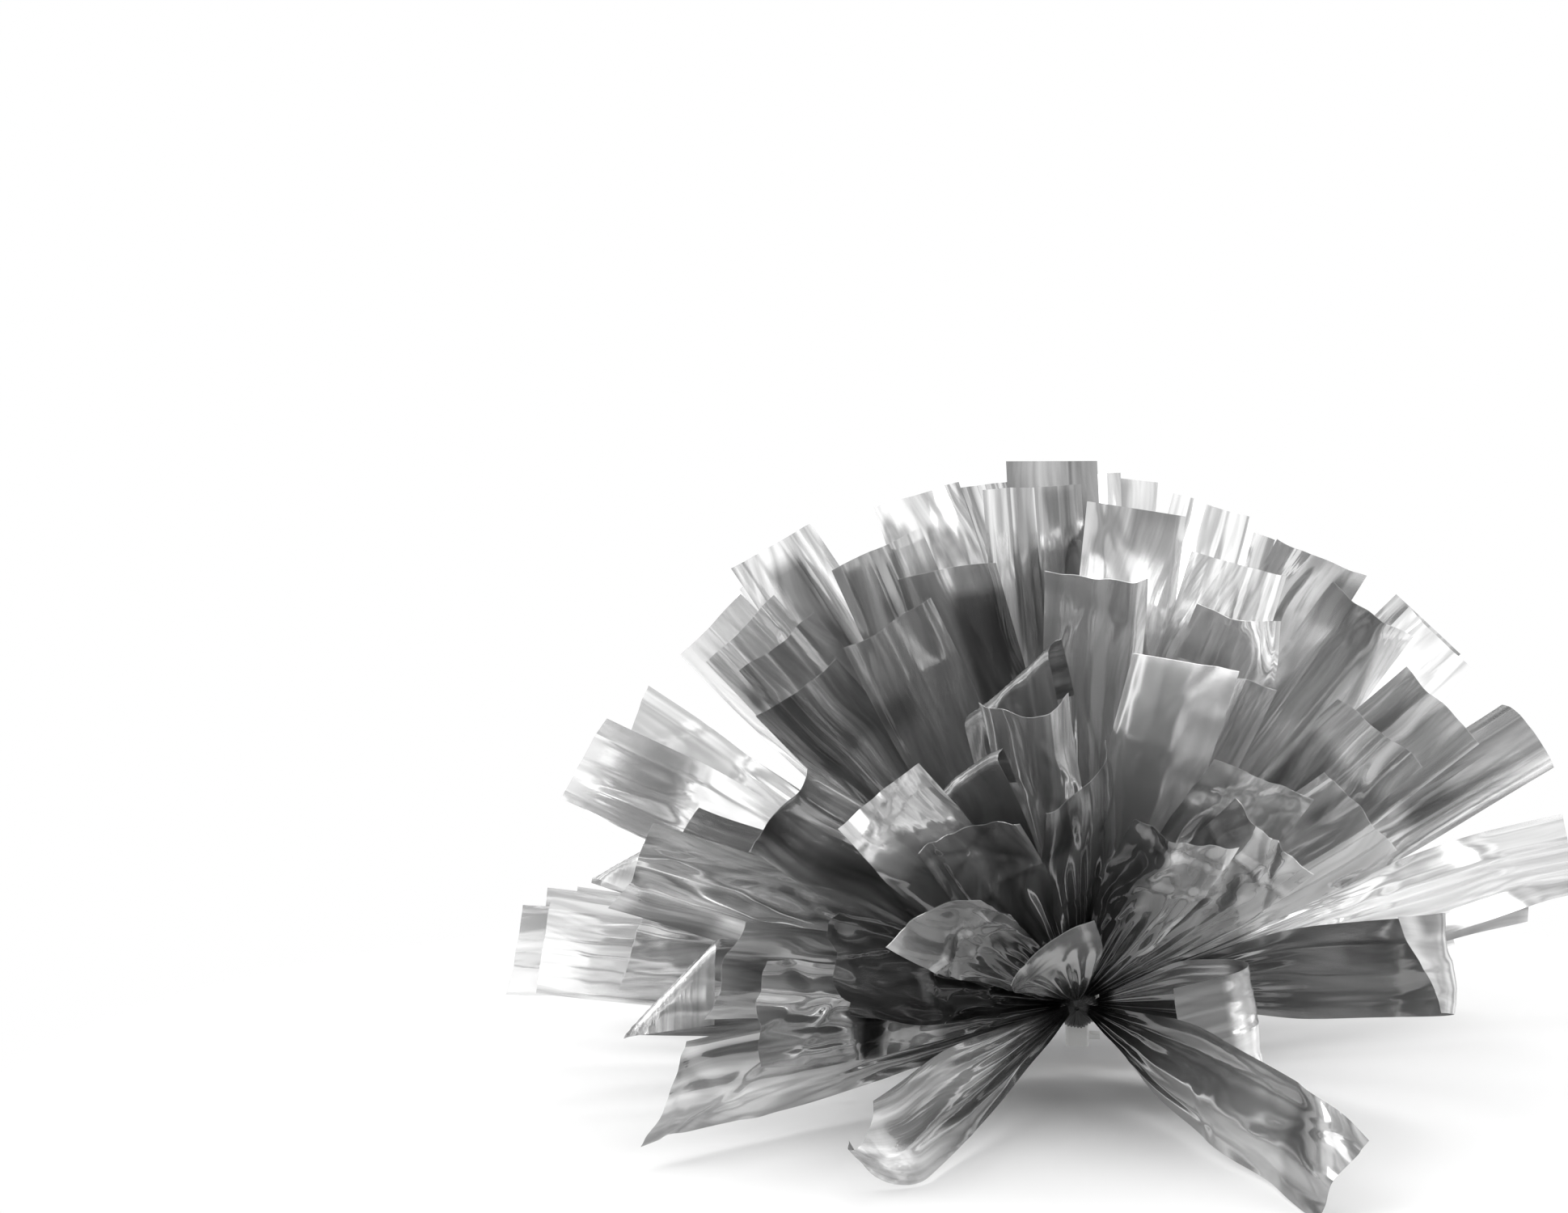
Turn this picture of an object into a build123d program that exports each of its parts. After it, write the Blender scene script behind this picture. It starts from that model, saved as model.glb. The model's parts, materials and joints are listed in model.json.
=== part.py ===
from build123d import *

import math
import os

# A hand-held cheer pom pom. Streamers of metallised film are gathered round the front end of a
# dowel, a cable tie pinches them there, and they spray out as a half ball. The dowel runs back
# into a hollow baton grip. All sizes are millimetres and all angles are degrees.
#
# The origin is the middle of the grip, on its axis. +Y runs back along the grip, away from the
# spray, +Z is up and +X is to the right of someone who looks at the spray from the front.

# Film
FILM_WIDTH = 25.4  # width that each streamer is cut to
LEAF_LENGTH = 152.0  # from the tie's centre to the cut end of a leaf
FILM_THICKNESS = 0.3  # the thin film with the air that its crinkles hold
NECK_WIDTH = 2.0  # width of a leaf where it is pleated together at the gather
FAN_ANGLE = 12.94  # between the two edges of a leaf until it has opened to its full width

# The streamer whose leaf curls back on itself
LOOP_RUN = 48.0  # from the tie's centre to where the curl starts
LOOP_RADIUS = 12.5
LOOP_TURN = 180.0
LOOP_TAIL = 8.0  # straight end after the curl

# The streamer whose leaf bows forward all along its length
BOW_START = 28.0  # from the tie's centre to where the bow starts
BOW_TURN = 100.0

# Gather and cable tie
DOWEL_DIAMETER = 6.0
DOWEL_NOSE = 6.0  # how far the dowel reaches in front of the tie's centre
PINCHED_FILM = 2.0  # radial thickness of the pinched streamers on the dowel
PINCH_LENGTH = 12.0  # length of the pinched streamers along the dowel
PINCH_FLARE = 1.2  # how much wider they stand at each end than under the tie
TIE_WIDTH = 4.8
TIE_THICKNESS = 1.3
TIE_HEAD_WIDTH = 6.4
TIE_HEAD_HEIGHT = 5.2
TIE_TAIL_LENGTH = 3.0  # what is left of the tie's tail after it is cut off
GATHER_CLEARANCE = 0.5  # between the pinched streamers and where a leaf starts

# Baton grip
GRIP_LENGTH = 96.0
GRIP_DIAMETER = 18.0
GRIP_WALL = 1.6
GRIP_SETBACK = 16.0  # from the tie's centre back to the front face of the grip
BUSH_LENGTH = 12.0
BUSH_FLANGE = 2.0  # thickness of the flange that closes the tube's front
DOWEL_IN_GRIP = 62.0  # how far the dowel runs into the grip
CAP_PLUG_LENGTH = 10.0
CAP_HEAD = 3.0  # thickness of the end cap outside the tube
CAP_PLUG_WALL = 2.0
PIN_DIAMETER = 2.5
EDGE = 0.8  # rounding of the grip's outer edges

TIE_Y = -(GRIP_LENGTH / 2 + GRIP_SETBACK)
GRIP_FRONT = -GRIP_LENGTH / 2
GRIP_BACK = GRIP_LENGTH / 2
GRIP_BORE = GRIP_DIAMETER - 2 * GRIP_WALL
PINCH_DIAMETER = DOWEL_DIAMETER + 2 * PINCHED_FILM
PINCH_CORNER = math.hypot(PINCH_LENGTH / 2, PINCH_DIAMETER / 2 + PINCH_FLARE)
GATHER_REACH = PINCH_CORNER + GATHER_CLEARANCE  # from the tie's centre to where a leaf starts
SPREAD_REACH = FILM_WIDTH / 2 / math.tan(math.radians(FAN_ANGLE / 2))  # to where it is full width
PIN_Y = GRIP_FRONT + BUSH_LENGTH / 2

# How the streamers lie. Each one is a single strip folded at its middle, so it shows two leaves.
# A leaf is (clock, lean): clock turns about the grip's axis from 0 at the right through 90
# straight up to 180 at the left, and lean is the angle away from straight ahead, so 0 points at
# the viewer, 90 is flat in the plane of the tie and more than 90 leans back over the hand.
# The streamers of one bundle lie together and swing together.
BUNDLES = {
    "left": [
        ((173, 89), (175, 101)),
        ((181, 41), (189, 17)),
        ((169, 113), (176, 125)),
        ((169, 49), (170, 65)),
        ((172, 73), (166, 57)),
    ],
    "upper_left": [
        ((153, 83), (153, 109)),
        ((161, 37), (156, 53)),
        ((165, 105), (156, 121)),
        ((166, 33), (153, 61)),
        ((157, 97), (150, 93)),
        ((152, 29), (159, 117)),
    ],
    "high_left": [
        ((134, 87), (123, 81)),
        ((138, 45), (127, 57)),
        ((127, 68), (130, 73)),
        ((130, 113), (132, 105)),
        ((126, 93), (132, 129)),
        ((123, 33), (128, 25)),
    ],
    "top_left": [
        ((108, 97), (102, 105)),
        ((112, 64), (105, 60)),
        ((113, 53), (112, 37)),
        ((112, 29), (101, 17)),
        ((106, 121), (104, 129)),
        ((111, 109), (109, 117)),
        ((121, 133), (110, 125)),
    ],
    "top": [
        ((93, 93), (90, 101)),
        ((95, 69), (84, 65)),
        ((88, 57), (86, 109)),
        ((98, 41), (101, 45)),
        ((76, 41), (88, 33)),
        ((96, 113), (83, 117)),
        ((92, 133), (93, 137)),
    ],
    "top_right": [
        ((74, 105), (71, 113)),
        ((64, 69), (72, 61)),
        ((70, 53), (70, 121)),
        ((68, 29), (60, 37)),
        ((63, 133), (74, 125)),
        ((70, 45), (63, 137)),
        ((70, 141), (66, 129)),
    ],
    "high_right": [
        ((44, 109), (46, 113)),
        ((46, 57), (37, 65)),
        ((50, 49), (46, 41)),
        ((57, 65), (39, 121)),
        ((54, 33), (42, 117)),
        ((36, 129), (47, 125)),
    ],
    "right": [
        ((15, 109), (12, 117)),
        ((14, 141), (8, 133)),
    ],
    "lower_right": [
        ((-7, 21), (7, 129)),
    ],
}
BOWED_LEAF = (11, 84)  # a single leaf in the right bundle
CURLED_LEAF = (7, 58)  # a single leaf in the lower right bundle


def pointing(clock, lean):
    """The direction of a leaf that lies at that clock and lean."""
    out = math.sin(math.radians(lean))
    return Vector(
        out * math.cos(math.radians(clock)),
        -math.cos(math.radians(lean)),
        out * math.sin(math.radians(clock)),
    )


def leaf_plane(clock, lean):
    """A plane at the tie's centre: X runs along the leaf and Z is the film's outward side."""
    along = pointing(clock, lean)
    across = Vector(-math.sin(math.radians(clock)), 0, math.cos(math.radians(clock)))
    return Plane(origin=(0, TIE_Y, 0), x_dir=along, z_dir=along.cross(across))


def film(plane, near, open_at, far):
    """A flat piece of film that fans from its pleated neck to full width at open_at."""
    outline = Polyline(
        (near, -NECK_WIDTH / 2),
        (open_at, -FILM_WIDTH / 2),
        (far, -FILM_WIDTH / 2),
        (far, FILM_WIDTH / 2),
        (open_at, FILM_WIDTH / 2),
        (near, NECK_WIDTH / 2),
        close=True,
    )
    return extrude(plane * make_face(outline), amount=FILM_THICKNESS / 2, both=True)


def leaf(clock, lean):
    return film(leaf_plane(clock, lean), GATHER_REACH, SPREAD_REACH, LEAF_LENGTH)


def ribbon(plane, path):
    """Full-width film that follows a path drawn in (along the leaf, towards the viewer)."""
    side = Plane(origin=plane.origin, x_dir=plane.x_dir, z_dir=-plane.y_dir)
    profile = trace(path, line_width=FILM_THICKNESS)
    return extrude(side * profile, amount=FILM_WIDTH / 2, both=True)


def curled_leaf(clock, lean):
    """A leaf that runs straight out, then curls back towards the viewer in one round turn."""
    plane = leaf_plane(clock, lean)
    neck = film(plane, GATHER_REACH, LOOP_RUN - LOOP_RADIUS, LOOP_RUN)
    curl = JernArc((LOOP_RUN, 0), (1, 0), LOOP_RADIUS, LOOP_TURN)
    tail = Line(curl @ 1, curl @ 1 + (curl % 1) * LOOP_TAIL)
    return neck + ribbon(plane, curl + tail)


def bowed_leaf(clock, lean):
    """A leaf that springs out sideways and bows forward to point at the viewer."""
    plane = leaf_plane(clock, lean)
    neck = film(plane, GATHER_REACH, BOW_START - FILM_WIDTH / 4, BOW_START)
    radius = (LEAF_LENGTH - BOW_START) / math.radians(BOW_TURN)
    bow = JernArc((BOW_START, 0), (1, 0), radius, BOW_TURN)
    return neck + ribbon(plane, bow)


def pinched_film():
    """The middles of all the streamers, pressed round the dowel and flaring at both ends."""
    waist = PINCH_DIAMETER / 2
    flared = waist + PINCH_FLARE
    end = PINCH_LENGTH / 2
    seat = TIE_HEAD_WIDTH / 2
    inside = DOWEL_DIAMETER / 2
    outline = Polyline(
        (inside, -end),
        (flared, -end),
        (waist, -seat),
        (waist, seat),
        (flared, end),
        (inside, end),
        close=True,
    )
    return about_grip_axis(make_face(outline), TIE_Y)


def about_grip_axis(face, y):
    """Revolves a face drawn as (radius, distance along the grip) about the grip's axis."""
    return Pos(0, y, 0) * revolve(face, Axis.Y)


def cable_tie():
    """One nylon moulding: the band, the locking head under it and the cut tail."""
    inside = PINCH_DIAMETER / 2
    outside = inside + TIE_THICKNESS
    band = along_grip(outside, TIE_WIDTH) - along_grip(inside, TIE_WIDTH)
    head_middle = outside + TIE_HEAD_HEIGHT / 2 - TIE_THICKNESS / 2
    head_height = TIE_HEAD_HEIGHT + TIE_THICKNESS
    head = Pos(0, 0, -head_middle) * Box(TIE_HEAD_WIDTH, TIE_HEAD_WIDTH, head_height)
    head = fillet(head.edges().filter_by(Axis.Z), EDGE)
    head -= along_grip(inside, TIE_HEAD_WIDTH)
    slot_depth = TIE_HEAD_HEIGHT / 2
    slot_low = outside + TIE_HEAD_HEIGHT
    slot = Pos(0, 0, slot_depth / 2 - slot_low) * Box(TIE_THICKNESS * 1.4, TIE_WIDTH * 0.8, slot_depth)
    tail_middle = outside + TIE_HEAD_HEIGHT / 2
    tail_run = TIE_HEAD_WIDTH / 2 + TIE_TAIL_LENGTH / 2
    tail = Pos(tail_run, 0, -tail_middle) * Box(TIE_TAIL_LENGTH, TIE_WIDTH, TIE_THICKNESS)
    return Pos(0, TIE_Y, 0) * (band + head - slot + tail)


def along_grip(radius, length):
    """A cylinder on the grip's axis, centred on the origin."""
    return Rot(90, 0, 0) * Cylinder(radius, length)


def rod(radius, start, end):
    """A cylinder on the grip's axis from one place along it to another."""
    return Pos(0, (start + end) / 2, 0) * along_grip(radius, end - start)


def cross_hole():
    return Pos(0, PIN_Y, 0) * Cylinder(PIN_DIAMETER / 2, GRIP_DIAMETER * 2)


def dowel():
    body = rod(DOWEL_DIAMETER / 2, TIE_Y - DOWEL_NOSE, GRIP_FRONT + DOWEL_IN_GRIP)
    body = chamfer(body.edges().filter_by(GeomType.CIRCLE), DOWEL_DIAMETER / 12)
    return body - cross_hole()


def grip_tube():
    tube = rod(GRIP_DIAMETER / 2, GRIP_FRONT, GRIP_BACK)
    return tube - rod(GRIP_BORE / 2, GRIP_FRONT, GRIP_BACK) - cross_hole()


def front_bush():
    """Closes the front of the grip and carries the dowel."""
    plug = rod(GRIP_BORE / 2, GRIP_FRONT, GRIP_FRONT + BUSH_LENGTH)
    flange = rod(GRIP_DIAMETER / 2, GRIP_FRONT - BUSH_FLANGE, GRIP_FRONT)
    front_edge = flange.edges().filter_by(GeomType.CIRCLE).sort_by(Axis.Y)[0]
    flange = fillet(front_edge, EDGE)
    bore = rod(DOWEL_DIAMETER / 2, GRIP_FRONT - BUSH_FLANGE, GRIP_FRONT + BUSH_LENGTH)
    return plug + flange - bore - cross_hole()


def rear_bush():
    """Centres the inner end of the dowel inside the grip."""
    end = GRIP_FRONT + DOWEL_IN_GRIP
    disc = rod(GRIP_BORE / 2, end - BUSH_LENGTH, end)
    return disc - rod(DOWEL_DIAMETER / 2, end - BUSH_LENGTH, end)


def end_cap():
    """A hollow push-in plug with a rounded head."""
    plug = rod(GRIP_BORE / 2, GRIP_BACK - CAP_PLUG_LENGTH, GRIP_BACK)
    plug -= rod(GRIP_BORE / 2 - CAP_PLUG_WALL, GRIP_BACK - CAP_PLUG_LENGTH, GRIP_BACK)
    head = rod(GRIP_DIAMETER / 2, GRIP_BACK, GRIP_BACK + CAP_HEAD)
    back_edge = head.edges().filter_by(GeomType.CIRCLE).sort_by(Axis.Y)[-1]
    return plug + fillet(back_edge, CAP_HEAD * 0.6)


def cross_pin():
    """Holds the dowel in the front bush and the tube."""
    return Pos(0, PIN_Y, 0) * Cylinder(PIN_DIAMETER / 2, GRIP_DIAMETER - EDGE)


def write(name, solids):
    export_step(Compound(label=name, children=list(solids)), f"parts/{name}.step")


def main():
    os.makedirs("parts", exist_ok=True)
    core = {
        "dowel": dowel(),
        "grip_tube": grip_tube(),
        "front_bush": front_bush(),
        "rear_bush": rear_bush(),
        "end_cap": end_cap(),
        "cross_pin": cross_pin(),
        "cable_tie": cable_tie(),
        "pinched_film": pinched_film(),
    }
    for name, solid in core.items():
        write(name, solid.solids())
    for bundle, streamers in BUNDLES.items():
        for number, leaves in enumerate(streamers, 1):
            write(f"streamer_{bundle}_{number}", [leaf(*place).solid() for place in leaves])
    write("streamer_curled", curled_leaf(*CURLED_LEAF).solids())
    write("streamer_bowed", bowed_leaf(*BOWED_LEAF).solids())


main()
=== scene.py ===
import json
import math
import zlib

import bmesh
import bpy
import numpy as np
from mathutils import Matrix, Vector


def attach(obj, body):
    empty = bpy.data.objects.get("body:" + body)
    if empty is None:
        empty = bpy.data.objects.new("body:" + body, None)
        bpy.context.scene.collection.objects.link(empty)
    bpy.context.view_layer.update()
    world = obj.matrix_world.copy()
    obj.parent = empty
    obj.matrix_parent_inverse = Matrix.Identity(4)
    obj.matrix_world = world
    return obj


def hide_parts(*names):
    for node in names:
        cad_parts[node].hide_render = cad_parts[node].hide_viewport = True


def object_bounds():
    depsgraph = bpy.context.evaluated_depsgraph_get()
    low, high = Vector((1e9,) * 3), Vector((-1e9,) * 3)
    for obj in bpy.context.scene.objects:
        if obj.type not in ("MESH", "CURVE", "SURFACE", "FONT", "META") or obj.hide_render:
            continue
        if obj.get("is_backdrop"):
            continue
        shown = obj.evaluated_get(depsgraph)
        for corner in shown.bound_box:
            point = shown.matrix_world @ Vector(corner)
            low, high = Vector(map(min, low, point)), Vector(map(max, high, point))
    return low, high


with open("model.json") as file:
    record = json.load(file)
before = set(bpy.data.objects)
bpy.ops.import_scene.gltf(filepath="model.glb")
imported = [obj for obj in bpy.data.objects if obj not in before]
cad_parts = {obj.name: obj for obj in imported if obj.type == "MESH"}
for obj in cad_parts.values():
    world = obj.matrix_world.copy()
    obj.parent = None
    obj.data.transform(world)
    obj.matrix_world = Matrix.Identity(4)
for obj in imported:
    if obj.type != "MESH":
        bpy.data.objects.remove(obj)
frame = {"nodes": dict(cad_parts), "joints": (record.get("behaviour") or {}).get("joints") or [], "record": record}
cad_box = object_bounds()

# The looks of a hand-held cheer pom pom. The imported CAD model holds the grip, the cable tie and
# flat leaves of film. This script replaces each flat leaf with pleated, creased and curled film.
# A leaf is worked out in millimetres and degrees, as (distance from the tie, across, off the
# leaf's plane), and placed in metres. A pair is the low and high end of a range, unless its
# comment says otherwise.
MM = 0.001
TIE = np.array(frame["joints"][0]["pos_m"])
ROOT_CORNERS = 4  # the corners nearest the tie give a CAD leaf's direction

# Film
FILM_WIDTH = 25.4
LEAF_LENGTH = 152.0
FILM_SHELL = 0.06  # thickness of the mesh
ROOT_REACH = 5.5  # a leaf starts inside the pinched bundle
NECK_SHARE = 0.075  # visible width at the root, as a share of the film's width
OPEN_AT = 104.0  # where a leaf has fanned out to its full width
FOLDS = 11  # pleats across a leaf at its root
STEPS_PER_FOLD = 3
ROWS = 88
OPEN_ROUNDING = 0.02  # how softly a leaf's sides turn parallel
CUT_FROM = 60  # a slanted end tilts the rows of the mesh from here on

# Pleats
FOLD_GAPS = (0.5, 1.5)  # between the fold lines, as shares of the average
PLEAT_ROOM = 0.07  # depth of the pleats, as a share of the distance from the tie
PLEAT_SHARE = 0.6  # of the depth that the spare width or the room allows
PLEATS_END = (55, 150)  # where the pleats fade out, one by one
PLEAT_STRENGTH = (0.5, 1.0)
SOFT_PLEAT = 0.14  # most height of the soft folds that last to the tip
SOFT_PLEAT_RISE = (20, 60)

# Waves, creases and curves of the film
WAVE_COUNTS = (1.0, 1.7, 2.9)  # across the film's width
WAVE_DRIFT = 0.012  # how fast they wander sideways along the leaf
WAVE_STRENGTH = (0.25, 1.0)
WAVE_RISE = (18, 70)
SWELL_LENGTH = (45, 110)  # of the slow undulation along the leaf
SWELL_SHARE = 0.8
LENGTHWISE_SHARE = 0.7  # of the creases
CREASE_SPREAD = 14  # of their heading
CREASE_WIDTH = (1.5, 5.0)
CREASE_LENGTH = (10, 35)
CREASE_HEIGHT = (0.3, 1.0)  # as a share of the crumple
CREASE_RISE = (12, 35)
CUP_RISE = (20, 120)  # the film curves across its width more and more between these
TWIST_START = 12
BOW_FROM = 20  # a leaf bows evenly from here to its tip
NEARLY_STRAIGHT = 0.1  # a smaller bow is left out
STRAIGHT_TIPS = 0.5  # share of the tips that don't curl
TIP_CURL_START = (105, 138)
TIP_CURL_HEADING = (-35, 35)
TIP_CURL_RADIUS = (14, 34)
TIP_CURL_TURN = (8, 26)

# Painted light and shade on the film: painted shade at the crowded root that lifts towards the tip, and painted
# reflections in patches
PAINTED_SHADE_AT_ROOT = 0.07
TONE_RISES = ((0.48, 8, 50), (0.45, 40, 90))  # (rise, from, to)
# Painted reflections and shade: random stretches of a leaf painted darker or lighter, and the blur of every
# patch's edge
PATCH_COUNT = (2, 6)
PATCH_START = (20, 130)
PATCH_RUN = (14, 60)
PATCH_SIDE = (-1.3, 0.8)
PATCH_WIDTH = (0.3, 1.4)
PATCH_CHANGE = (0.4, 1.3)  # factor on the tone
PATCH_END_BLUR = 6
PATCH_SIDE_BLUR = 0.1
FILM_SCALE = 10  # film coordinates are in tenths of a metre
FILM_VARIETY = 9  # each leaf shows its own part of the film's pattern, up to this far along it

# What a leaf has unless LOOKS says otherwise
USUAL_TONE = 0.8
USUAL_LENGTH = (-2.5, 1.5)  # added to LEAF_LENGTH
USUAL_CUT = 3  # spread of the slant of the cut end
USUAL_WAVES = (0.3, 1.0)
USUAL_CREASES = 9
USUAL_CRUMPLE = 0.4  # height of the creases
USUAL_CUP = (-26, 26)
USUAL_TWIST = (-9, 9)
USUAL_BOW = (-3, 3)
USUAL_STREAK = (0.35, 1.0)

# The pinched bundle under the tie. Its outline is in pairs of (distance behind the tie, radius)
GATHER_OUTLINE = (
    (6.4, 3.1), (6.0, 5.6), (3.4, 4.7), (-3.4, 4.7), (-6.0, 5.8), (-7.6, 4.8), (-8.8, 2.6), (-9.3, 0.4),
)
GATHER_PLEATS = 40
GATHER_LUMPS = 9
GATHER_LUMP_SHARE = 0.7  # of the pleats' depth, at most
GATHER_LUMP_STRENGTH = (0.4, 1)
GATHER_SEED = 5
GATHER_ROWS = 40
GATHER_DEPTH = 0.22
# Painted shade: the gathered film under the tie is painted dark.
GATHER_PAINTED_SHADE = 0.12
GATHER_STREAK = 0.5
COLUMNS_PER_PLEAT = 4

# The curled leaf and the bowed leaf
LOOP_RUN = 48.0
LOOP_RADIUS = 12.5
LOOP_TURN = 125.0
LOOP_SLANT = 2.0
LOOP_TAIL = 14.0
LOOP_LENGTH = LOOP_RUN + LOOP_RADIUS * math.radians(LOOP_TURN) + LOOP_TAIL
BOW_SLANT = -14.0
BOW_START = 28.0
BOW_TURN = 100.0
BOW_RADIUS = (LEAF_LENGTH - BOW_START) / math.radians(BOW_TURN)

# Camera, lights and floor, in metres, with the lens and its sensor in millimetres
CAMERA_DISTANCE = 0.75
CAMERA_HEIGHT_ANGLE = 11.0
CAMERA_LENS = 61.2
CAMERA_SENSOR = 36.0
AIM_LEFT_OF_TIE = 0.08394
AIM_ABOVE_TIE = 0.1104
# Each light is (name, place, size, watts)
LIGHTS = (
    ("key", (-0.9, -0.9, 1.3), (0.9, 0.9), 10),
    ("fill", (1.2, -0.8, 0.7), (0.5, 1.2), 4),
    ("top", (0.1, 0.2, 1.6), (1.2, 0.8), 6),
)
LIGHT_AIM = (0, -0.03, 0.05)  # from the tie
STUDIO_STRENGTH = 1.45
FLOOR_REACH = 6.0
FLOOR_SOLID = 0.04  # the floor fades out between these distances from the tie
FLOOR_GONE = 0.3


def smooth(low, high, value):
    """Rises smoothly from 0 at low to 1 at high."""
    t = np.clip((value - low) / (high - low), 0, 1)
    return t * t * (3 - 2 * t)


# ---------------------------------------------------------------- leaves of the CAD model


def solids_of(node):
    """The points of each separate solid in a CAD node."""
    mesh = bmesh.new()
    mesh.from_mesh(frame["nodes"][node].data)
    bmesh.ops.remove_doubles(mesh, verts=mesh.verts, dist=1e-6)
    seen, found = set(), []
    for first in mesh.verts:
        if first in seen:
            continue
        island, front = [], [first]
        seen.add(first)
        while front:
            vert = front.pop()
            island.append(vert.co[:])
            for edge in vert.link_edges:
                other = edge.other_vert(vert)
                if other not in seen:
                    seen.add(other)
                    front.append(other)
        found.append(np.array(island))
    mesh.free()
    return found


def leaf_axes(points):
    """Unit vectors along a leaf, across it and off its outward face."""
    out = points - TIE
    nearest = np.argsort(np.linalg.norm(out, axis=1))[:ROOT_CORNERS]
    along = out[nearest].mean(axis=0)
    along /= np.linalg.norm(along)
    clock = math.atan2(along[2], along[0])
    across = np.array((-math.sin(clock), 0, math.cos(clock)))
    return along, across, np.cross(along, across)


def leaves_of(node):
    """The leaves of a streamer, the one that points more towards the viewer first."""
    return sorted((leaf_axes(points) for points in solids_of(node)), key=lambda axes: axes[0][1])


# ---------------------------------------------------------------- the shape of one leaf


def bend(points, start, heading, radius, angle):
    """Rolls the film beyond a line onto a cylinder. The line crosses the leaf at start, and
    heading is how far the roll's direction is turned from along the leaf."""
    turn = math.radians(heading)
    along = np.array((math.cos(turn), math.sin(turn)))
    side = 1 if angle > 0 else -1
    ahead = (points[..., 0] - start) * along[0] + points[..., 1] * along[1]
    height = points[..., 2] * side
    arc = np.clip(ahead / radius, 0, math.radians(abs(angle)))
    past = np.maximum(ahead - radius * arc, 0)
    rolled = (radius - height) * np.sin(arc) + past * np.cos(arc)
    lifted = radius - (radius - height) * np.cos(arc) + past * np.sin(arc)
    moved = np.where(ahead > 0, rolled - ahead, 0)
    result = points.copy()
    result[..., 0] += moved * along[0]
    result[..., 1] += moved * along[1]
    result[..., 2] = np.where(ahead > 0, lifted, height) * side
    return result


def fold_lines(rng):
    """Fold lines across the film, unevenly spaced, from -1 to 1."""
    gaps = rng.uniform(*FOLD_GAPS, FOLDS)
    return np.concatenate(([0], np.cumsum(gaps))) / gaps.sum() * 2 - 1


def columns_between(lines):
    """Columns of the mesh: each fold line, and steps between them."""
    places = np.arange((len(lines) - 1) * STEPS_PER_FOLD + 1) / STEPS_PER_FOLD
    return np.interp(places, np.arange(len(lines)), lines)


def pleats(rng, lines, columns, reach, openness):
    """Height of the pleats, deep near the root and fading out one by one towards the tip."""
    sign = np.where(np.arange(len(lines)) % 2, 1.0, -1.0)
    ends = rng.uniform(*PLEATS_END, len(lines))
    strength = rng.uniform(*PLEAT_STRENGTH, len(lines))
    spare = np.sqrt(np.maximum(1 - openness**2, 0)) * FILM_WIDTH / FOLDS
    room = PLEAT_ROOM * reach
    size = np.minimum(spare, room) * PLEAT_SHARE
    fade = 1 - smooth(ends[None, :] * 0.5, ends[None, :], reach[:, None])
    lasting = rng.uniform(-SOFT_PLEAT, SOFT_PLEAT, len(lines))
    lasting = lasting * smooth(*SOFT_PLEAT_RISE, reach)[:, None]
    heights = size[:, None] * fade * strength * sign + lasting
    weights = np.array([np.interp(columns, lines, row) for row in np.eye(len(lines))]).T
    return heights @ weights.T


def waves(rng, across, reach, size):
    """A few broad lengthwise waves and a slow undulation along the leaf."""
    total = np.zeros_like(across)
    for count in WAVE_COUNTS:
        phase = rng.uniform(0, math.tau)
        drift = rng.uniform(-WAVE_DRIFT, WAVE_DRIFT)
        amount = rng.uniform(*WAVE_STRENGTH) * size / count
        total += amount * np.sin(math.tau * count * across / FILM_WIDTH + phase + drift * reach)
    length = rng.uniform(*SWELL_LENGTH)
    total += size * SWELL_SHARE * np.sin(math.tau * reach / length + rng.uniform(0, math.tau))
    return total * smooth(*WAVE_RISE, reach)


def creases(rng, across, reach, count, size):
    """Low straight ridges with sharp edges, mostly lengthwise, where the film was crumpled."""
    total = np.zeros_like(across)
    for _ in range(count):
        lengthwise = rng.random() < LENGTHWISE_SHARE
        heading = rng.normal(90, CREASE_SPREAD) if lengthwise else rng.uniform(0, 180)
        heading = math.radians(heading)
        place = rng.uniform(20, LEAF_LENGTH)
        off = rng.uniform(-0.5, 0.5) * FILM_WIDTH
        ahead = (reach - place) * math.cos(heading) + (across - off) * math.sin(heading)
        aside = (across - off) * math.cos(heading) - (reach - place) * math.sin(heading)
        wide = rng.uniform(*CREASE_WIDTH)
        tall = rng.choice((-1, 1)) * rng.uniform(*CREASE_HEIGHT) * size
        window = np.exp(-((aside / rng.uniform(*CREASE_LENGTH)) ** 2))
        total += tall * np.maximum(1 - np.abs(ahead) / wide, 0) * window
    return total * smooth(*CREASE_RISE, reach)


def cup(points, angle):
    """Curves the film across its width, more towards the tip. The sign says which way."""
    nearly_flat = 1e-4
    curve = math.radians(abs(angle)) * smooth(*CUP_RISE, points[..., 0]) + nearly_flat
    radius = FILM_WIDTH / curve
    turned = points[..., 1] / radius
    result = points.copy()
    result[..., 1] = (radius - points[..., 2] * np.sign(angle)) * np.sin(turned)
    result[..., 2] += np.sign(angle) * radius * (1 - np.cos(turned))
    return result


def twist(points, angle):
    """Turns the film about its length, more and more towards the tip."""
    turn = math.radians(angle) * smooth(TWIST_START, LEAF_LENGTH, points[..., 0])
    result = points.copy()
    result[..., 1] = points[..., 1] * np.cos(turn) - points[..., 2] * np.sin(turn)
    result[..., 2] = points[..., 1] * np.sin(turn) + points[..., 2] * np.cos(turn)
    return result


def tip_curl(rng):
    """Some ends curl a little, each at its own angle."""
    if rng.random() < STRAIGHT_TIPS:
        return ()
    start, heading = rng.uniform(*TIP_CURL_START), rng.uniform(*TIP_CURL_HEADING)
    radius = rng.uniform(*TIP_CURL_RADIUS)
    return ((start, heading, radius, rng.choice((-1, 1)) * rng.uniform(*TIP_CURL_TURN)),)


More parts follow.
